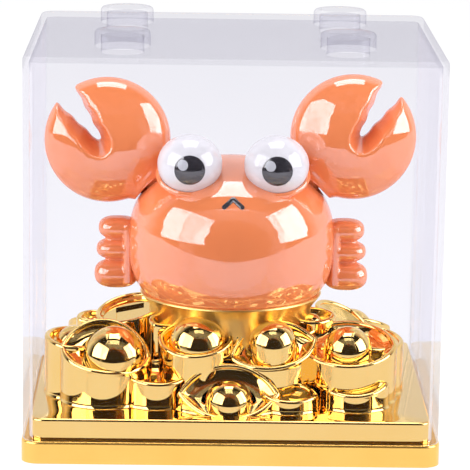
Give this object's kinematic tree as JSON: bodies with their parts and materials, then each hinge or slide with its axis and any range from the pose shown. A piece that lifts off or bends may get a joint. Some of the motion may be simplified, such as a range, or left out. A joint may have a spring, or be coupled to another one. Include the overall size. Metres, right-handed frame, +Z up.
{
  "type": "crab figurine in a display case",
  "caption": "Round glossy crab figurine with bulging eyes and hinged pincers on a heap of plated ingots, under a clear lift-off cover with stacking studs",
  "frame": {"origin": "middle of the plinth's underside, where the case stands", "axes": "+Z up, the crab looks along -Y, +X to the right of someone facing it"},
  "size_m": [0.12, 0.1, 0.1219],
  "materials": {
    "clear_acrylic": "clear polished moulding",
    "satin_gold": "gold-coated plastic, satin",
    "plated_gold": "mirror gold plating on a plastic moulding",
    "orange_shell": "high gloss",
    "eye_white": "high gloss",
    "black_gloss": "high gloss",
    "steel": "plain turned steel"
  },
  "bodies": {
    "base": {"plinth": "satin_gold", "ingot_deck": "plated_gold", "base_screws": "steel", "crab_screws": "steel", "body_front": "orange_shell", "body_rear": "orange_shell", "body_screws": "steel", "mouth": "black_gloss", "left_eye": "eye_white", "right_eye": "eye_white", "left_pupil": "black_gloss", "right_pupil": "black_gloss", "left_legs": "orange_shell", "right_legs": "orange_shell", "left_claw_pin": "steel", "right_claw_pin": "steel"},
    "cover": {"display_cover": "clear_acrylic"},
    "left_claw": {"left_claw_front": "orange_shell", "left_claw_rear": "orange_shell"},
    "right_claw": {"right_claw_front": "orange_shell", "right_claw_rear": "orange_shell"}
  },
  "joints": [
    {"name": "cover_lift", "type": "slide", "parent": "base", "child": "cover", "axis": [0, 0, 1], "range_m": [0, 0.11]},
    {"name": "left_claw_swing", "type": "hinge", "parent": "base", "child": "left_claw", "pos_m": [-0.0165, 0, 0.069], "axis": [0, 1, 0], "range_deg": [-3.5, 8.5]},
    {"name": "right_claw_swing", "type": "hinge", "parent": "base", "child": "right_claw", "pos_m": [0.0165, 0, 0.069], "axis": [0, -1, 0], "range_deg": [-8.5, 3.5]}
  ]
}
